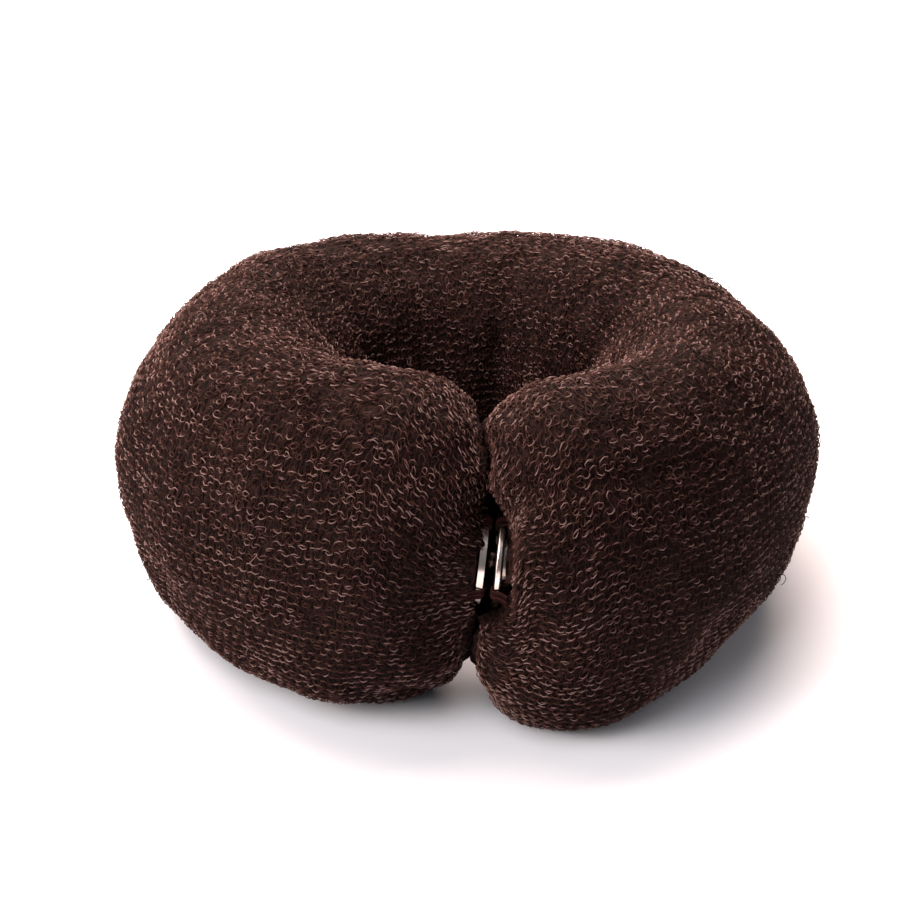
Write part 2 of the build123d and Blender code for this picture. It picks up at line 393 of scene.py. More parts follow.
# %% Helpers for materials
def linear(hex_colour):
    """A screen colour such as #5a4b49 as Blender's linear colour."""
    parts = [int(hex_colour[k : k + 2], 16) / 255 for k in (1, 3, 5)]
    return (*[p / 12.92 if p < 0.04045 else ((p + 0.055) / 1.055) ** 2.4 for p in parts], 1.0)


def set_up(node, settings=None, links=None):
    """A setting is the node's own, or a socket's value; a link feeds a socket."""
    for name, value in (settings or {}).items():
        if isinstance(name, str) and hasattr(node, name):
            setattr(node, name, value)
        else:
            node.inputs[name].default_value = value
    for name, source in (links or {}).items():
        node.id_data.links.new(source, node.inputs[name])
    return node


def add_node(tree, kind, settings=None, links=None):
    """Adds a node with its settings and links."""
    return set_up(tree.nodes.new(kind), settings, links)


def new_material(name):
    """An empty material: its node tree and its Principled shader."""
    material = bpy.data.materials.new(name)
    material.use_nodes = True
    return material, material.node_tree, material.node_tree.nodes["Principled BSDF"]


print("mid grey #808080 in linear light: %.3f" % linear("#808080")[0])

# %% [markdown]
# ## Inner layers of the roll
# Between the loops of the outermost layer the eye looks into many more layers of the same mesh.
# They hardly get any light: near black with a red-brown cast, and a dim network of threads in it.
# Drawing every layer as thread would cost millions of faces, so this piece is one closed form just
# under the knit, and its material draws the network in near black: painted shade for the dark down there.

# %% Material: layered nylon mesh in its own shade
NYLON_IOR = 1.53
STITCH = 1.5 * MM  # width of a stitch, measured in the photograph on the snap's scale
NETWORK = 0.62 * STITCH  # layers lie over each other, so their network is finer than one layer's
CROOKED = 1.6 * MM  # how far its threads are bent aside
layers, tree, shader = new_material("layered_nylon_mesh")
where = add_node(tree, "ShaderNodeTexCoord").outputs["Object"]
wander = add_node(tree, "ShaderNodeTexNoise", {"Scale": 1 / (3 * STITCH), "Detail": 2}, {"Vector": where})
bent = add_node(tree, "ShaderNodeMixRGB", {"blend_type": "ADD", "Fac": CROOKED},
                {"Color1": where, "Color2": wander.outputs["Color"]})
network = add_node(tree, "ShaderNodeTexVoronoi", {"feature": "DISTANCE_TO_EDGE", "Scale": 1 / NETWORK},
                   {"Vector": bent.outputs["Color"]})
thread = add_node(tree, "ShaderNodeMapRange", {"From Min": 0.02, "From Max": 0.16, "To Min": 1, "To Max": 0},
                  {"Value": network.outputs["Distance"]})
patches = add_node(tree, "ShaderNodeTexNoise", {"Scale": 1 / (9 * MM), "Detail": 3}, {"Vector": where})
# painted shade: the inner layers are coloured near black and their network only a little lighter, for the
# dark between the layers
depth_shade = add_node(tree, "ShaderNodeMixRGB", {"Color1": linear("#0a0504"), "Color2": linear("#140a08")},
                  {"Fac": patches.outputs["Fac"]})
strands = add_node(tree, "ShaderNodeMixRGB", {"Color2": linear("#281713")},
                   {"Fac": thread.outputs["Result"], "Color1": depth_shade.outputs["Color"]})
bump = add_node(tree, "ShaderNodeBump", {"Strength": 0.6, "Distance": 0.15 * MM},
                {"Height": thread.outputs["Result"]})
# nylon's IOR; the layers above swallow most of its gloss
set_up(shader, {"Roughness": 0.75, "IOR": NYLON_IOR, "Specular IOR Level": 0.06},
       {"Base Color": strands.outputs["Color"], "Normal": bump.outputs["Normal"]})
print(layers.name, "has", len(tree.nodes), "nodes, its network %.2f mm wide" % (NETWORK / MM))

# %% Form of the roll under its outer layer
INNER_DEPTH = 0.52 * MM  # below the skin
OPEN_FROM, OPEN_FADING = 1.8, 1.6 * MM  # gaps this many times the press or more count as open
FOOT_ROOM = 0.25 * MM  # above the table
rows = np.r_[0:END:2, END : len(roll) - END : 4, len(roll) - END : len(roll) : 2]
thin, thin_out, thin_gap, most = (grid[rows][:, ::2] for grid in (skin, out, gap, most_pressed))
open_share = np.clip((thin_gap - OPEN_FROM * most) / OPEN_FADING, 0, 1)
stand = press(thin_gap, most) * (1 - open_share) - INNER_DEPTH * open_share
inner = thin + thin_out * stand[..., None]
inner[..., 2] = np.maximum(inner[..., 2], FOOT_ROOM)
print("inner roll stands from %.2f to %.2f mm off the skin" % (stand.min() / MM, stand.max() / MM))

# %% Piece: the roll under its outer layer
length, rounds = inner.shape[:2]
ends = [list(range(rounds)), list(range((length - 1) * rounds, length * rounds))[::-1]]
mesh = bpy.data.meshes.new("mesh_roll")
mesh.from_pydata(inner.reshape(-1, 3), [], rolled_quads(length, rounds).tolist() + ends)
mesh.shade_smooth()
mesh.materials.append(layers)
mesh_roll = bpy.data.objects.new("mesh_roll", mesh)
bpy.context.scene.collection.objects.link(mesh_roll)
print("mesh_roll:", len(mesh.polygons), "faces")

# %% A flat map of the roll, for its baked finish
STRIP_LOW, STRIP_HIGH = 0.05, 0.94  # the wall is one strip over the map's full width
DISC, DISC_MIDDLE = 0.02, 0.022  # the two end faces are discs below it: radius and height


def end_disc(u):
    """Map of an end's face."""
    angle = np.arange(rounds) * 2 * math.pi / rounds
    return np.stack([u + DISC * np.cos(angle), DISC_MIDDLE + DISC * np.sin(angle)], -1)


i, j = np.meshgrid(np.arange(length - 1), np.arange(rounds), indexing="ij")
corners = [(i, j), (i + 1, j), (i + 1, j + 1), (i, j + 1)]
strip = [np.stack([b / rounds, STRIP_LOW + STRIP_HIGH * a / (length - 1)], -1) for a, b in corners]
flat_map = np.concatenate([np.stack(strip, 2).reshape(-1, 2), end_disc(0.2), end_disc(0.6)])
mesh.uv_layers.new(name="OFBake").data.foreach_set("uv", flat_map.astype(np.float32).ravel())

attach(mesh_roll, "root")
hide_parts("bun_ring")
print("map of mesh_roll from", flat_map.min(0), "to", flat_map.max(0))

# %% [markdown]
# ## The knit
# The outer layer is plain knitting with its back to the outside: one thread per row, bent into
# loops like the letter omega, and every loop holds the row above. The heads of the loops lie
# outermost and catch the light as small pale arcs in rows, which is what the eye sees first. A bump
# pattern would look flat at the outline and hide nothing behind its threads. So each row is a real
# thread, a wavy line that is laid on the grid and given its thickness. Hand-bent mesh is uneven, so
# the loops differ in height, lean and depth, most of all on top where the roll is bent and the mesh
# is slack. Rows run out one after another towards the gathered ends.

# %% Lay of the rows on the roll
COURSES = 98  # rows round the roll, 1.1 to 1.2 mm apart
STOPS = (0.16, 0.62, 0.36, 0.62)  # of the full girth: each row in turn stops where less is left
round_length = np.linalg.norm(np.diff(np.concatenate([skin, skin[:, :1]], 1), axis=1), axis=2).sum(1)
full_round = round_length[FAN:-FAN].mean()
spacing = round_length[FAN:-FAN] / COURSES
print("row spacing %.2f to %.2f mm" % (spacing.min() / MM, spacing.max() / MM))


def course_run(course):
    """The sections between which a row of loops runs."""
    run = np.flatnonzero(round_length > STOPS[course % len(STOPS)] * full_round)
    return run[0], run[-1]


def read_grid(grid, row, column):
    """Values of the grid between its points; columns close round the roll."""
    row = np.clip(row, 0, len(grid) - 1.001)
    i, j = np.floor(row).astype(int), np.floor(column).astype(int)
    a, b = (row - i)[..., None], (column - j)[..., None]
    j, k = j % ROUND, (j + 1) % ROUND
    here = grid[i, j] * (1 - b) + grid[i, k] * b
    further = grid[i + 1, j] * (1 - b) + grid[i + 1, k] * b
    return here * (1 - a) + further * a


# %% How uneven the loops are
# spreads: a loop's height as a share, place and lean in stitches, rise in rows, depth in mm, tone
UNEVEN = {"height": 0.16, "place": 0.09, "lean": 0.16, "rise": 0.10, "depth": 0.05, "glint": 0.28}
WANDER = {"along": 0.28, "across": 0.18, "out": 0.06}  # slow bends of a row: mm, rows, mm
TWIST = {"along": 0.17, "across": 0.18}  # quick bends within it
FIRM, SLACKER_ON_TOP = 0.65, 1.1  # how much of the unevenness shows below, and how much more on top
FLATTER = 0.22  # share of a loop's height that it loses where the mesh is pulled along the roll
wander_along = soft_noise(11, 5 * MM)
wander_across = soft_noise(12, 4 * MM)
wander_out = soft_noise(13, 3.5 * MM)
twist_along = soft_noise(15, 1.9 * MM)
twist_across = soft_noise(16, 1.7 * MM)
pulled = soft_noise(14, 9 * MM)


def between_stitches(values, place):
    """Random values of the stitches, eased from one to the next."""
    k = np.clip(np.floor(place).astype(int), 0, len(values) - 2)
    share = place - k
    share = share * share * (3 - 2 * share)
    return values[k] * (1 - share) + values[k + 1] * share


print("from a stitch of 0 to one of 1:", between_stitches(np.array([0, 1, 0]), np.linspace(0, 1, 5)))

# %% One row of loops
PLAIN_ROW = 270 * MM  # a row this long has stitches just STITCH wide
CROWDING = 0.65  # how far shorter rows, towards the hole, keep the number of longer ones
LOOP_HALF_HEIGHT = 0.66  # as a share of the row spacing, so that the rows interlock
LOOP_BULGE = 0.19  # how far a loop's head is wider than its foot, as a share of the stitch
LOOP_DEPTH = 0.17 * MM  # how far a loop's legs lie below its head and feet, each way
# the loop's head carries a painted highlight, and this is its middling strength
GLINT = 0.54  # middling tone of a loop's head


def row_of_loops(course, steps, depth, offset, rng):
    """Middle line of a row, its ways out and along, its stitches, and a tone from 0 to 1: random for each
    stitch, with painted highlight on the loops' heads and feet and painted shade on their legs.
    """
    column = (course + 0.5 + offset) * ROUND / COURSES
    first, last = course_run(course)
    sections = np.arange(first, last + 1)
    line = read_grid(skin, sections.astype(float), np.full(len(sections), column))
    length = np.concatenate([[0], np.cumsum(np.linalg.norm(np.diff(line, axis=0), axis=1))])
    stitches = int(round(length[-1] / (STITCH * (length[-1] / PLAIN_ROW) ** CROWDING)))
    place = np.arange(stitches * steps + 1) / steps
    phase = 2 * math.pi * (place + offset)
    section = np.interp(place / stitches * length[-1], length, sections)
    here = read_grid(skin, section, np.full(len(section), column))
    facing_up = read_grid(out, section, np.full(len(section), column))[:, 2]
    slackness = FIRM + SLACKER_ON_TOP * np.clip(facing_up, 0, 1)

    def draw(name):
        return between_stitches(rng.normal(0, UNEVEN[name], stitches + 2), place) * slackness

    height = LOOP_HALF_HEIGHT * (1 + np.clip(draw("height"), -0.4, 0.5))
    height = height * (1 - FLATTER * np.clip(pulled(here), -1.2, 1.2))
    rise = height * -np.cos(phase)
    along = place + LOOP_BULGE * np.sin(2 * phase) + draw("place") + draw("lean") * rise
    along = along * length[-1] / stitches
    bends = WANDER["along"] * wander_along(here) + TWIST["along"] * twist_along(here)
    along = along + bends * MM * slackness
    bends = WANDER["across"] * wander_across(here) + TWIST["across"] * twist_across(here)
    rise = rise + draw("rise") + bends * slackness
    section = np.interp(along, length, sections)
    column = column + rise * ROUND / COURSES
    out_here = unit(read_grid(out, section, column))
    heads = np.cos(2 * phase)
    bends = WANDER["out"] * wander_out(here) * slackness
    lift = LOOP_DEPTH * heads + (draw("depth") + bends) * MM - depth
    centre = read_grid(skin, section, column) + out_here * lift[:, None]
    # painted highlight and shade: heads and feet of the loops are toned pale, the legs dark, each stitch by
    # a random share
    glint = (0.5 + 0.5 * heads) * np.clip(GLINT + draw("glint") / slackness, 0, 1)
    return centre, out_here, unit(np.gradient(centre, axis=0)), stitches, glint


for side, course in (("outside", COURSES // 4), ("hole", COURSES * 3 // 4)):
    example = row_of_loops(course, 10, 0, 0, np.random.default_rng(1))
    print("stitches of the row round the", side, "-", example[3])

# %% [markdown]
# Some 29,000 stitches in two layers need many faces, so a thread gets only the two sides that
# look outwards, like a small roof: a third would face the roll, where nobody sees it. A loop
# that would touch the snap is left out, and so is one of the outer layer that looks at its rim from
# close by, where the sewing presses the mesh down. Under the ring the thread stays above the table.

# %% Threads round a middle line
ROOF = np.radians([-30, 90, 210])  # places of a thread's three edges; 90 is out of the roll
TUBE = np.radians([90, 150, 210, 270, 330, 390])  # and a round one's six


def new_bundle(steps, strips):
    """An empty bundle of threads, each stitch or thread of which has so many steps and strips."""
    sizes = {"steps": steps, "strips": strips, "count": 0, "cells": 0}
    return {**sizes, "points": [], "faces": [], "tones": []}


def add_thread(bundle, line, radius, edges, tones, cells=1):
    """Adds a thread of some stitches. Its line is a middle line with its ways out and along."""
    centre, out_here, tangent = line
    side = unit(np.cross(tangent, out_here))
    top = np.cross(side, tangent)
    round_line = side[:, None] * np.cos(edges)[:, None] + top[:, None] * np.sin(edges)[:, None]
    points = centre[:, None] + round_line * radius
    bundle["faces"].append(rolled_quads(len(centre), len(edges), bundle["strips"], bundle["count"]))
    bundle["points"].append(points.reshape(-1, 3))
    bundle["tones"].append(np.repeat(tones, len(edges)))
    bundle["count"] += len(centre) * len(edges)
    bundle["cells"] += cells


print("edges of a knitted thread:", len(ROOF), "- of a sewn one:", len(TUBE))

# %% Knit a layer, in four joined pieces
THREAD = 0.075 * MM  # radius
SNAP_ROOM = 0.13 * MM  # from a thread's middle to the snap
SNAP_VIEW, LOOKING = 2.0 * MM, 0.35  # how near and how squarely an outer loop may not face the snap
TABLE_ROOM = 0.02 * MM  # between the lowest threads and the table
UNDER_FROM = 1.2 * MM  # the under layer isn't drawn below this, where nobody sees it
QUARTERS = ("right_front", "right_back", "left_back", "left_front")


def knit(depth, steps, offset, seed, outermost):
    """Threads of a whole layer, in a bundle for each quarter of the ring."""
    rng = np.random.default_rng(seed)
    quarters = {name: new_bundle(steps, 2) for name in QUARTERS}
    for course in range(COURSES):
        centre, out_here, tangent, stitches, tones = row_of_loops(course, steps, depth, offset, rng)
        centre[:, 2] = np.maximum(centre[:, 2], THREAD + TABLE_ROOM)
        away, nearest = from_snap(centre)
        looks_at_snap = ((nearest - centre) * out_here).sum(-1) > LOOKING * away
        clear = (away > SNAP_ROOM) & ~(outermost & looks_at_snap & (away < SNAP_VIEW))
        keep = np.array([clear[k * steps : (k + 1) * steps + 1].all() for k in range(stitches)])
        if not outermost:
            keep &= centre[: stitches * steps : steps, 2] > UNDER_FROM
        middle = centre[steps // 2 :: steps][:stitches]
        turn = np.degrees(np.arctan2(middle[:, 0], RING_MIDDLE.y - middle[:, 1])) % 360
        quarter = (turn // 90).astype(int)
        changes = np.flatnonzero((np.diff(quarter) != 0) | (np.diff(keep.astype(int)) != 0)) + 1
        for first, last in zip([0, *changes], [*changes, stitches]):
            if keep[first]:
                part = slice(first * steps, last * steps + 1)
                line = (centre[part], out_here[part], tangent[part])
                bundle = quarters[QUARTERS[quarter[first]]]
                add_thread(bundle, line, THREAD, ROOF, tones[part], last - first)
    return quarters


outer = knit(depth=0.12 * MM, steps=10, offset=0.0, seed=21, outermost=True)
under = knit(depth=0.40 * MM, steps=5, offset=0.6, seed=22, outermost=False)
print("stitches:", sum(bundle["cells"] for layer in (outer, under) for bundle in layer.values()))

# %% Turn a bundle of threads into a piece
MARGIN, FILLED, STRIP_FILLED = 0.06, 0.88, 0.82  # shares of a square on the map


def map_threads(mesh, bundle):
    """A flat map for baking, where each stitch or thread has its own small square."""
    steps, strips = bundle["steps"], bundle["strips"]
    across = int(math.ceil(math.sqrt(bundle["cells"])))
    counts = (np.arange(bundle["cells"]), np.arange(steps), np.arange(strips))
    square, step, strip = np.meshgrid(*counts, indexing="ij")
    size = 1 / across
    left = (square % across + MARGIN + FILLED * step / steps) * size
    low = (square // across + MARGIN + FILLED * strip / strips) * size
    wide, high = FILLED * size / steps, STRIP_FILLED * size / strips
    corners = [(left, low), (left + wide, low), (left + wide, low + high), (left, low + high)]
    flat = np.stack([np.stack(c, -1) for c in corners], 3)
    mesh.uv_layers.new(name="OFBake").data.foreach_set("uv", flat.astype(np.float32).ravel())


def piece_of_threads(name, bundle, material):
    """Joins a bundle into one smooth-shaded mesh of quads, mapped, toned and riding on the part."""
    points, faces, tones = (np.concatenate(bundle[part]) for part in ("points", "faces", "tones"))
    mesh = bpy.data.meshes.new(name)
    mesh.vertices.add(len(points))
    mesh.vertices.foreach_set("co", points.astype(np.float32).ravel())
    mesh.loops.add(faces.size)
    mesh.loops.foreach_set("vertex_index", faces.astype(np.int32).ravel())
    mesh.polygons.add(len(faces))
    mesh.polygons.foreach_set("loop_start", np.arange(0, faces.size, 4, dtype=np.int32))
    mesh.update(calc_edges=True)
    mesh.shade_smooth()
    mesh.materials.append(material)
    piece = bpy.data.objects.new(name, mesh)
    bpy.context.scene.collection.objects.link(piece)
    map_threads(mesh, bundle)
    tone = mesh.attributes.new("tone", "FLOAT", "POINT")
    tone.data.foreach_set("value", tones.astype(np.float32))
    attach(piece, "root")
    print(name, bundle["cells"], "stitches or threads,", 2 * len(faces), "triangles")


# %% [markdown]
# ## Nylon thread
# Each thread is a single dyed filament of nylon, drawn smooth: a fishing line in dark brown, about
# 0.15 mm thick. Its lit side shows pinkish grey glints over a red-brown body. The dye takes a
# little unevenly, so every stitch gets a random tone of its own, which the mesh carries; the same
# tone carries a painted highlight in pinkish grey on the loops' heads and feet and a painted shade
# on their legs. Nylon has an IOR of 1.53. A single filament is fairly glossy, with a roughness of
# about 0.35, but from here a glint spreads over a whole bend, so it is drawn rougher, and its gloss
# level is low because the rows beside it hide much of the light.


# %% Material: dyed nylon filament
def filament(name, deep, middle, pale, roughness, gloss_level):
    """Drawn nylon: by its tone, painted highlight on the loops' heads and feet and painted shade on their
    legs, and a slow change from place to place.
    """
    material, tree, shader = new_material(name)
    tone = add_node(tree, "ShaderNodeAttribute", {"attribute_name": "tone"}).outputs["Fac"]
    where = add_node(tree, "ShaderNodeTexCoord").outputs["Object"]
    patches = add_node(tree, "ShaderNodeTexNoise", {"Scale": 1 / (11 * MM), "Detail": 3}, {"Vector": where})
    tone_with_glint = add_node(tree, "ShaderNodeMath", {"operation": "MULTIPLY_ADD", 1: 0.4},
                           {0: patches.outputs["Fac"], 2: tone})
    ramp = add_node(tree, "ShaderNodeValToRGB", {}, {"Fac": tone_with_glint.outputs["Value"]})
    # deep is the painted shade of the loops' legs, pale the painted highlight of their heads and feet
    ramp.color_ramp.elements[0].position = 0.2
    ramp.color_ramp.elements[0].color = linear(deep)
    ramp.color_ramp.elements[1].position = 1.0
    ramp.color_ramp.elements[1].color = linear(pale)
    ramp.color_ramp.elements.new(0.62).color = linear(middle)
    # the filament's own unevenness is a few hundredths of a mm; it is drawn ten times coarser
    uneven = add_node(tree, "ShaderNodeTexNoise", {"Scale": 1 / (0.4 * MM), "Detail": 2}, {"Vector": where})
    gloss = add_node(tree, "ShaderNodeMapRange", {"To Min": roughness - 0.1, "To Max": roughness + 0.12},
                     {"Value": uneven.outputs["Fac"]})
    bump = add_node(tree, "ShaderNodeBump", {"Strength": 0.25, "Distance": 0.05 * MM},
                    {"Height": uneven.outputs["Fac"]})
    finish = {"Roughness": gloss.outputs["Result"], "Normal": bump.outputs["Normal"]}
    set_up(shader, {"IOR": NYLON_IOR, "Specular IOR Level": gloss_level},
           {"Base Color": ramp.outputs["Color"], **finish})
    print(name, "from", deep, "over", middle, "to", pale)
    return material


outer_thread = filament("dyed_nylon_filament", "#150a08", "#3a231e", "#6b5652", 0.55, 0.05)
# painted shade: the layer below is the same nylon in darker colours, for the shade of the layer over it
under_thread = filament("dyed_nylon_filament_shaded", "#0f0706", "#24130f", "#45322d", 0.6, 0.03)

# %% Pieces: outer layer and the one under it
for quarter, bundle in outer.items():
    piece_of_threads("knit_outer_" + quarter, bundle, outer_thread)
for quarter, bundle in under.items():
    piece_of_threads("knit_under_" + quarter, bundle, under_thread)

# %% [markdown]
# ## The snap
# The two halves are stamped from thin brass and plated with bright nickel. Small parts are tumbled
# before plating, so the edges are soft and the faces carry fine, random scratches: a mirror with a
# faint haze, slightly warm. Between the halves, round the ball, the plating is darkened to a dark
# brown: painted shade, where little light gets in. The measured pieces already have the right shape and
# stay.

# %% Material: bright nickel over stamped brass
SHADED_TO, UNSHADED_FROM = 3.0 * MM, 5.4 * MM  # from the ball: painted shade up to the one, plain plating from the other
nickel, tree, shader = new_material("bright_nickel_plate")
where = add_node(tree, "ShaderNodeTexCoord").outputs["Object"]
haze = add_node(tree, "ShaderNodeTexNoise", {"Scale": 1 / (1.5 * MM), "Detail": 5}, {"Vector": where})
plating = add_node(tree, "ShaderNodeMixRGB", {"Color1": linear("#dbd5d0"), "Color2": linear("#b8a194")},
                   {"Fac": haze.outputs["Fac"]})
from_ball = add_node(tree, "ShaderNodeVectorMath", {"operation": "DISTANCE", 1: tuple(SNAP_MIDDLE)},
                     {0: where})
# painted shade: the plating darkens to brown towards the ball, where little light gets in between the halves
shade_near_ball = add_node(tree, "ShaderNodeMapRange", {"From Min": SHADED_TO, "From Max": UNSHADED_FROM},
                  {"Value": from_ball.outputs["Value"]})
colour = add_node(tree, "ShaderNodeMixRGB", {"Color1": linear("#40342e")},
                  {"Fac": shade_near_ball.outputs["Result"], "Color2": plating.outputs["Color"]})
gloss = add_node(tree, "ShaderNodeMapRange", {"To Min": 0.10, "To Max": 0.30},
                 {"Value": haze.outputs["Fac"]})
# tumbling scratches are some hundredths of a mm apart; they are drawn at 0.15 mm
scratches = add_node(tree, "ShaderNodeTexNoise", {"Scale": 1 / (0.15 * MM), "Detail": 3, "Distortion": 1.5},
                     {"Vector": where})
bump = add_node(tree, "ShaderNodeBump", {"Strength": 0.12, "Distance": 0.02 * MM},
                {"Height": scratches.outputs["Fac"]})
finish = {"Roughness": gloss.outputs["Result"], "Normal": bump.outputs["Normal"]}
set_up(shader, {"Metallic": 1.0}, {"Base Color": colour.outputs["Color"], **finish})
for part in snap_parts:
    part.data.materials.clear()
    part.data.materials.append(nickel)
    print(part.name, "is", nickel.name)

# %% [markdown]
# ## Stitches of the snap
# Each half is sewn on by hand through its four holes. A few turns of dark polyester thread come up
# through a hole, cross the rim and go back into the mesh, and they break the bright rim into the
# pieces that the photograph shows. A curve with a round bevel would do, but tubes made like the
# threads of the knit take their map and their tones as well. Each turn follows a smooth path over
# the rim, and the turns lie side by side and not quite straight.

# %% Where the halves of the snap lie
BALL = np.array(SNAP_MIDDLE)
SEAT_RISE = math.radians(30)  # how far the front of the snap looks up
HALVES = {  # lean and turn in degrees, way to the other half, mm behind the ball, first hole in degrees
    "stud": (5.5, 3.0, 1, 1.65, 45),
    "socket": (4.0, 2.3, -1, 0.30, -45),
}


def half_axes(lean, turn, towards, behind):
    """Middle of a half's plane, its way to the front, the third axis and the way to the other half."""
    lean, turn = math.radians(lean), math.radians(turn)
    axis = np.array([math.cos(lean) * math.cos(turn), -math.sin(turn), -math.sin(lean)]) * towards
    forward = np.array([0, -math.cos(SEAT_RISE), math.sin(SEAT_RISE)])
    front = unit(forward - axis * (forward @ axis))
    return BALL - axis * behind * MM, front, np.cross(axis, front), axis


for name, (lean, turn, towards, behind, _) in HALVES.items():
    print("middle of the", name, "in mm:", np.round(half_axes(lean, turn, towards, behind)[0] / MM, 2))

# %% Path of one turn of thread: how far out from the snap's middle and how high, in mm
THREAD_PATHS = {  # up through the hole, over the rim and back into the mesh
    "stud": [
        (4.95, -0.2), (5.05, 0.35), (5.15, 0.80), (5.45, 0.98), (5.85, 0.98),
        (6.16, 0.72), (6.24, 0.2), (6.4, -0.3), (6.9, -0.9),
    ],
    "socket": [
        (5.0, -1.2), (5.08, -0.5), (5.14, 0.0), (5.4, 0.17), (5.78, 0.16),
        (6.12, -0.14), (6.20, -0.6), (6.35, -1.1), (6.9, -1.7),
    ],
}
PATH_POINTS = 28


def smooth_path(points):
    """Even points on a path, after its corners are cut three times."""
    points = np.array(points, float)
    for _ in range(3):
        cut = [points[:-1] * 0.75 + points[1:] * 0.25, points[:-1] * 0.25 + points[1:] * 0.75]
        points = np.concatenate([points[:1], np.stack(cut, 1).reshape(-1, 2), points[-1:]])
    places = np.linspace(0, len(points) - 1, PATH_POINTS)
    return np.stack([np.interp(places, np.arange(len(points)), points[:, k]) for k in (0, 1)], 1)


for name, points in THREAD_PATHS.items():
    print("thread rises %.2f mm over the %s's plane" % (smooth_path(points)[:, 1].max(), name))

# %% Lay the turns of thread
SEW_RADIUS = 0.13 * MM
TURNS, TURN_SPACING = 5, 2.05  # through each hole, and how many radii apart
FANNING = np.linspace(0.9, 1.25, PATH_POINTS)  # the turns spread a little outside the rim
BESIDE, SLANT, BULGE = 0.03, 0.10, 0.04  # mm, how unevenly they lie
rng = np.random.default_rng(31)
sewn = new_bundle(PATH_POINTS - 1, len(TUBE))
for name, (lean, turn, towards, behind, first_hole) in HALVES.items():
    middle, front, third, axis = half_axes(lean, turn, towards, behind)
    for hole in range(4):
        angle = math.radians(first_hole + 90 * hole)
        away = front * math.cos(angle) + third * math.sin(angle)
        beside = np.cross(axis, away)
        for k in range(TURNS):
            path = smooth_path(THREAD_PATHS[name]) * MM
            shift = (k - (TURNS - 1) / 2) * TURN_SPACING * SEW_RADIUS + rng.normal(0, BESIDE) * MM
            spread = shift * FANNING + rng.normal(0, SLANT) * MM * np.linspace(-1, 1, PATH_POINTS)
            lift = np.abs(rng.normal(0, BULGE)) * MM * np.sin(np.linspace(0, math.pi, PATH_POINTS))
            centre = middle + away * path[:, :1] + axis * (path[:, 1:] + lift[:, None])
            centre = centre + beside * spread[:, None]
            tangent = unit(np.gradient(centre, axis=0))
            line = (centre, np.cross(beside, tangent), tangent)
            add_thread(sewn, line, SEW_RADIUS, TUBE, np.full(PATH_POINTS, rng.uniform(0, 1)))
print("turns of thread through the holes:", sewn["cells"])

# %% Material: spun polyester sewing thread
sewing, tree, shader = new_material("spun_polyester_thread")
tone = add_node(tree, "ShaderNodeAttribute", {"attribute_name": "tone"}).outputs["Fac"]
where = add_node(tree, "ShaderNodeTexCoord").outputs["Object"]
# its fibres are 0.015 mm thick and fuzz its surface to a dull one; they are drawn at 0.08 mm
fibres = add_node(tree, "ShaderNodeTexNoise", {"Scale": 1 / (0.08 * MM), "Detail": 2}, {"Vector": where})
colour = add_node(tree, "ShaderNodeMixRGB", {"Color1": linear("#1a0908"), "Color2": linear("#341614")},
                  {"Fac": tone})
fuzz = add_node(tree, "ShaderNodeMixRGB", {"blend_type": "OVERLAY", "Fac": 0.6},
                {"Color1": colour.outputs["Color"], "Color2": fibres.outputs["Color"]})
bump = add_node(tree, "ShaderNodeBump", {"Strength": 0.5, "Distance": 0.03 * MM},
                {"Height": fibres.outputs["Fac"]})
set_up(shader, {"Roughness": 0.85, "Specular IOR Level": 0.1},
       {"Base Color": fuzz.outputs["Color"], "Normal": bump.outputs["Normal"]})
piece_of_threads("snap_stitches", sewn, sewing)

# %% [markdown]
# ## Loose ends
# Here and there a filament has snapped or slipped out of the mesh and curls off the surface. They
# are few, but they roughen the outline as on the real ring. A hair system would make them quickly,
# but an exported model doesn't keep it, so they are threads like the others.

# %% Piece: loose filaments
LOOSE_ENDS, LOOSE_POINTS = 170, 12
LOOSE_RADIUS = 0.06 * MM
LEAST_BEND, MOST_BEND = 1.6, 4.2  # radians from root to tip
SMALLEST_CURL, LARGEST_CURL = 0.25, 0.75  # mm, radius
STANDING, ROOT = 0.7, 0.1 * MM  # how high a curl stands for its width, and how deep it starts
SIDEWAYS = 0.15  # mm for each radian of its bend
NEAR_SNAP = 3 * MM  # no loose ends here
rng = np.random.default_rng(41)
loose = new_bundle(LOOSE_POINTS - 1, len(ROOF))
for _ in range(LOOSE_ENDS):
    row, column = rng.integers(FAN, FAN + BODY), rng.integers(ROUND // 8, ROUND * 7 // 8)
    start, away = skin[row, column], out[row, column]
    if from_snap(start[None])[0] < NEAR_SNAP:
        continue
    flat = unit(np.cross(away, rng.normal(size=3)))
    bend = np.linspace(0, rng.uniform(LEAST_BEND, MOST_BEND), LOOSE_POINTS)
    size = rng.uniform(SMALLEST_CURL, LARGEST_CURL) * MM
    height = (1 - np.cos(bend)) * size * STANDING - ROOT
    centre = start + flat * (np.sin(bend) * size)[:, None] + away * height[:, None]
    centre = centre + np.cross(away, flat) * (bend * rng.normal(0, SIDEWAYS) * MM)[:, None]
    tangent = unit(np.gradient(centre, axis=0))
    line = (centre, np.cross(np.cross(away, flat), tangent), tangent)
    add_thread(loose, line, LOOSE_RADIUS, ROOF, np.zeros(LOOSE_POINTS))

tones = rng.uniform(0.3, 1, loose["cells"])
loose["tones"] = [np.repeat(tones, LOOSE_POINTS * len(ROOF))]
piece_of_threads("loose_ends", loose, outer_thread)

# %% [markdown]
# ## Camera
# The photograph looks down at the ring by 30 degrees, from in front of the snap and from about
# 40 cm away. The camera could be placed by eye, but its numbers come from fitting the measured
# model's outline to the photograph's, so that the two pictures can be laid over each other.

# %% Camera of the photograph
ELEVATION, AZIMUTH, ROLL = 30.14, -1.77, 1.09  # degrees
DISTANCE = 400 * MM
LOOK_AT = Vector((0.348, -2.697, 18.0)) * MM
PICTURE = 900  # pixels a side
FOCAL = 3165.3  # pixels
MIDDLE_AT = (471.33, 465.74)  # pixel where the point looked at appears

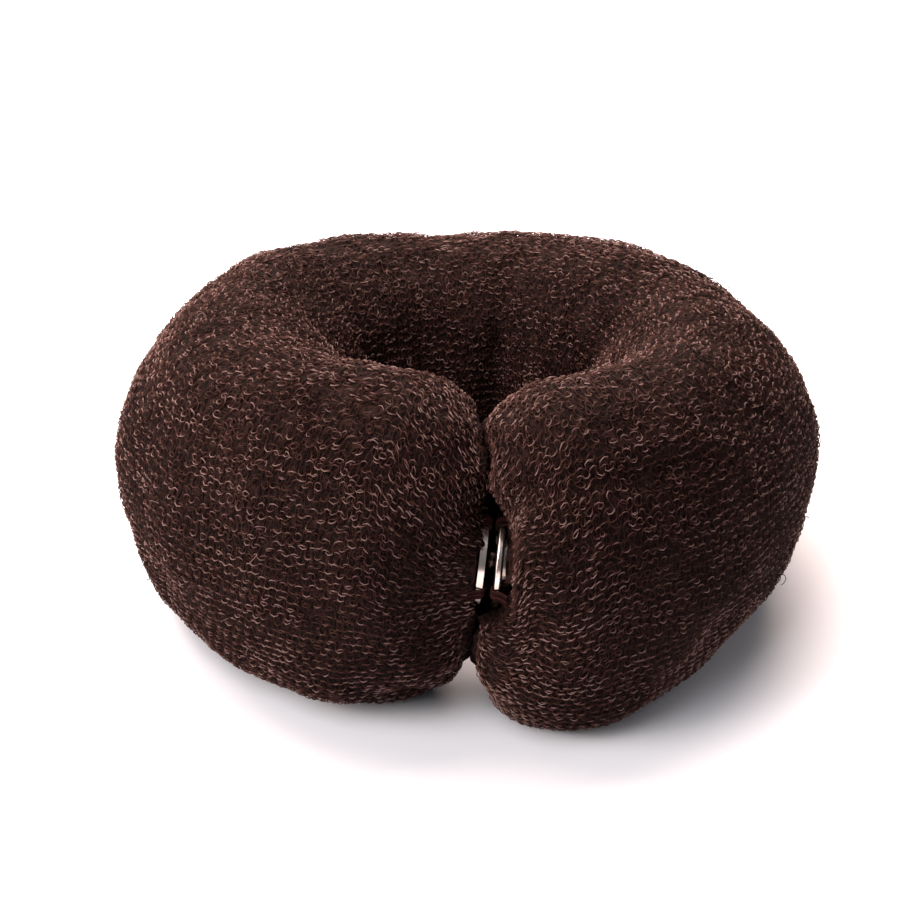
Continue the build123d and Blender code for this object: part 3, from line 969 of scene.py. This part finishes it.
lens = bpy.data.cameras.new("photo_camera")
lens.lens = FOCAL / PICTURE * lens.sensor_width
lens.shift_x = (PICTURE / 2 - MIDDLE_AT[0]) / PICTURE
lens.shift_y = (MIDDLE_AT[1] - PICTURE / 2) / PICTURE
camera = bpy.data.objects.new("photo_camera", lens)
el, az, roll_angle = (math.radians(a) for a in (ELEVATION, AZIMUTH, ROLL))
back = Vector((math.sin(az) * math.cos(el), -math.cos(az) * math.cos(el), math.sin(el)))
level = UP.cross(back).normalized()
upright = back.cross(level)
right = level * math.cos(roll_angle) + upright * math.sin(roll_angle)
up = upright * math.cos(roll_angle) - level * math.sin(roll_angle)
turned = Matrix((right, up, back)).transposed().to_4x4()
camera.matrix_world = Matrix.Translation(LOOK_AT + back * DISTANCE) @ turned
bpy.context.scene.collection.objects.link(camera)
bpy.context.scene.camera = camera
print("camera at", camera.matrix_world.translation, "lens %.1f mm" % lens.lens)

# %% [markdown]
# ## Floor and light
# The photograph is a product cut-out on white under soft light from above and a little behind, so
# the top is brightest and the front lobes stay dark. One environment picture could light it all,
# but four soft lamps are easier to match: a large warm one above and behind, a small one low at
# the left, a neutral one in front and a weak one at the right rim. The sky is pale and even, and
# the floor is a card whose faint blue makes up for the warm lamps.

# %% Floor
paper, tree, shader = new_material("pale_matt_card")
set_up(shader, {"Base Color": linear("#dde1e7"), "Roughness": 0.9})
mesh = bpy.data.meshes.new("floor")
mesh.from_pydata([(-2, -2, 0), (2, -2, 0), (2, 2, 0), (-2, 2, 0)], [], [(0, 1, 2, 3)])
mesh.materials.append(paper)
floor = bpy.data.objects.new("floor", mesh)
bpy.context.scene.collection.objects.link(floor)
print("floor:", floor.dimensions.x, "m a side")


# %% Lamps and sky
def soft_lamp(name, place, size, power, colour):
    """A square lamp that faces the ring."""
    lamp = bpy.data.lights.new(name, "AREA")
    lamp.size, lamp.energy = size, power
    lamp.color = linear(colour)[:3]
    holder = bpy.data.objects.new(name, lamp)
    holder.location = place
    holder.rotation_euler = (LOOK_AT - Vector(place)).to_track_quat("-Z", "Y").to_euler()
    bpy.context.scene.collection.objects.link(holder)
    print("%s: %.1f W, %.1f m across" % (name, power, size))


soft_lamp("top_lamp", (-0.20, 0.60, 0.95), 1.4, 54.0, "#ffe6da")
soft_lamp("left_lamp", (-0.95, -0.35, 0.36), 0.6, 14.5, "#fff0e8")
soft_lamp("front_lamp", (-0.45, -0.60, 0.95), 0.7, 11.5, "#fbf4f4")
soft_lamp("right_lamp", (0.90, 0.50, 0.20), 0.5, 3.0, "#ffe6da")
sky = bpy.data.worlds.new("even_sky")
sky.use_nodes = True
set_up(sky.node_tree.nodes["Background"], {"Color": linear("#eef2fb"), "Strength": 0.24})
bpy.context.scene.world = sky
bpy.context.scene.view_settings.view_transform = "Standard"
